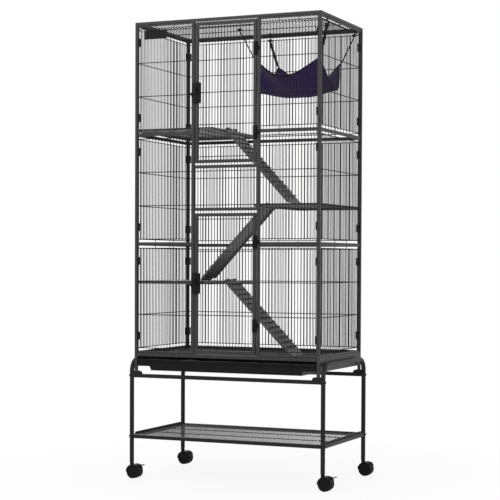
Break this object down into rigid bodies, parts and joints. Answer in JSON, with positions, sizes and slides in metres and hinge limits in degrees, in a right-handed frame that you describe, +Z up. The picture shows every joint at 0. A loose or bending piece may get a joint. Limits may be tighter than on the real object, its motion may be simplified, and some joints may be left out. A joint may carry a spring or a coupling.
{
  "type": "ferret cage",
  "caption": "Tall three-tier wire cage for ferrets with two hinged doors, platforms joined by ramps, a hammock, a pull-out tray and a wheeled stand with a shelf.",
  "frame": {"origin": "on the floor under the middle of the bounding box; the middle of the cage body lies 18.9 mm toward -X of it, because all four castors trail toward +X", "axes": "+Z up, the doors face -Y, +X is the side with the door hinges"},
  "size_m": [0.8588, 0.49, 1.751],
  "materials": {
    "frame": "charcoal powder coat",
    "wire": "charcoal powder coat on welded wire",
    "plastic": "black moulded plastic",
    "tray": "black moulded tray",
    "tyre": "black tread",
    "cloth": "deep purple padded cloth",
    "strap": "black webbing"
  },
  "bodies": {
    "cage": {"corner_post_front_left": "frame", "corner_post_front_right": "frame", "corner_post_back_left": "frame", "corner_post_back_right": "frame", "base_frame": "frame", "roof_panel": "wire", "floor_grille": "wire", "back_panel_top": "wire", "back_panel_middle": "wire", "back_panel_bottom": "wire", "left_panel_top": "wire", "left_panel_middle": "wire", "left_panel_bottom": "wire", "right_panel_top": "wire", "right_panel_middle": "wire", "right_panel_bottom": "wire", "front_panel_left": "wire", "front_panel_right": "wire", "front_panel_middle": "wire", "panel_clips": "plastic", "hinge_pins": "plastic", "latch_keepers": "plastic", "name_plate": "plastic", "platform_top": "frame", "platform_middle": "frame", "platform_bottom": "frame", "hammock": "cloth", "hammock_straps": "strap", "strap_hooks": "plastic", "tray_runner_left": "frame", "tray_runner_right": "frame", "side_frame_left": "frame", "side_frame_right": "frame", "stand_rail_front": "frame", "stand_rail_back": "frame", "lower_shelf": "wire", "stand_bolts": "frame"},
    "upper_door": {"upper_door": "wire", "upper_door_hinges": "plastic", "upper_latch_case": "plastic"},
    "lower_door": {"lower_door": "wire", "lower_door_hinges": "plastic", "lower_latch_case": "plastic"},
    "upper_latch": {"upper_latch_lever": "plastic"},
    "lower_latch": {"lower_latch_lever": "plastic"},
    "tray": {"tray": "tray"},
    "ramp_top": {"ramp_top": "frame"},
    "ramp_middle": {"ramp_middle": "frame"},
    "ramp_bottom": {"ramp_bottom": "frame"},
    "castor_front_left": {"castor_front_left": "plastic"},
    "wheels_front_left": {"wheels_front_left": "tyre"},
    "castor_front_right": {"castor_front_right": "plastic"},
    "wheels_front_right": {"wheels_front_right": "tyre"},
    "castor_back_left": {"castor_back_left": "plastic"},
    "wheels_back_left": {"wheels_back_left": "tyre"},
    "castor_back_right": {"castor_back_right": "plastic"},
    "wheels_back_right": {"wheels_back_right": "tyre"},
    "brake_left": {"brake_lever_left": "plastic"},
    "brake_right": {"brake_lever_right": "plastic"}
  },
  "joints": [
    {"name": "upper_door_hinge", "type": "hinge", "parent": "cage", "child": "upper_door", "pos_m": [0.10811, -0.2316, 1.47093], "axis": [0, 0, 1], "range_deg": [0, 170]},
    {"name": "lower_door_hinge", "type": "hinge", "parent": "cage", "child": "lower_door", "pos_m": [0.10811, -0.2316, 0.75357], "axis": [0, 0, 1], "range_deg": [0, 170]},
    {"name": "upper_latch_turn", "type": "hinge", "parent": "upper_door", "child": "upper_latch", "pos_m": [-0.13539, -0.232, 1.47093], "axis": [0, -1, 0], "range_deg": [0, 90]},
    {"name": "lower_latch_turn", "type": "hinge", "parent": "lower_door", "child": "lower_latch", "pos_m": [-0.13539, -0.232, 0.75357], "axis": [0, -1, 0], "range_deg": [0, 90]},
    {"name": "tray_slide", "type": "slide", "parent": "cage", "child": "tray", "axis": [0, -1, 0], "range_m": [0, 0.38]},
    {"name": "ramp_top_lift", "type": "hinge", "parent": "cage", "child": "ramp_top", "pos_m": [-0.07279, -0.05, 1.34672], "axis": [0, -1, 0], "range_deg": [0, 45]},
    {"name": "ramp_middle_lift", "type": "hinge", "parent": "cage", "child": "ramp_middle", "pos_m": [0.09001, -0.05, 1.05645], "axis": [0, 1, 0], "range_deg": [0, 45]},
    {"name": "ramp_bottom_lift", "type": "hinge", "parent": "cage", "child": "ramp_bottom", "pos_m": [-0.07279, -0.05, 0.76619], "axis": [0, -1, 0], "range_deg": [0, 45]},
    {"name": "castor_front_left_swivel", "type": "hinge", "parent": "cage", "child": "castor_front_left", "pos_m": [-0.41339, -0.2225, 0.061], "axis": [0, 0, 1], "continuous": true},
    {"name": "wheels_front_left_roll", "type": "hinge", "parent": "castor_front_left", "child": "wheels_front_left", "pos_m": [-0.40039, -0.2225, 0.025], "axis": [0, 1, 0], "continuous": true},
    {"name": "castor_front_right_swivel", "type": "hinge", "parent": "cage", "child": "castor_front_right", "pos_m": [0.37561, -0.2225, 0.061], "axis": [0, 0, 1], "continuous": true},
    {"name": "wheels_front_right_roll", "type": "hinge", "parent": "castor_front_right", "child": "wheels_front_right", "pos_m": [0.38861, -0.2225, 0.025], "axis": [0, 1, 0], "continuous": true},
    {"name": "castor_back_left_swivel", "type": "hinge", "parent": "cage", "child": "castor_back_left", "pos_m": [-0.41339, 0.2225, 0.061], "axis": [0, 0, 1], "continuous": true},
    {"name": "wheels_back_left_roll", "type": "hinge", "parent": "castor_back_left", "child": "wheels_back_left", "pos_m": [-0.40039, 0.2225, 0.025], "axis": [0, 1, 0], "continuous": true},
    {"name": "castor_back_right_swivel", "type": "hinge", "parent": "cage", "child": "castor_back_right", "pos_m": [0.37561, 0.2225, 0.061], "axis": [0, 0, 1], "continuous": true},
    {"name": "wheels_back_right_roll", "type": "hinge", "parent": "castor_back_right", "child": "wheels_back_right", "pos_m": [0.38861, 0.2225, 0.025], "axis": [0, 1, 0], "continuous": true},
    {"name": "brake_left_press", "type": "hinge", "parent": "castor_front_left", "child": "brake_left", "pos_m": [-0.38039, -0.2225, 0.049], "axis": [0, 1, 0], "range_deg": [0, 12]},
    {"name": "brake_right_press", "type": "hinge", "parent": "castor_front_right", "child": "brake_right", "pos_m": [0.40861, -0.2225, 0.049], "axis": [0, 1, 0], "range_deg": [0, 12]}
  ]
}
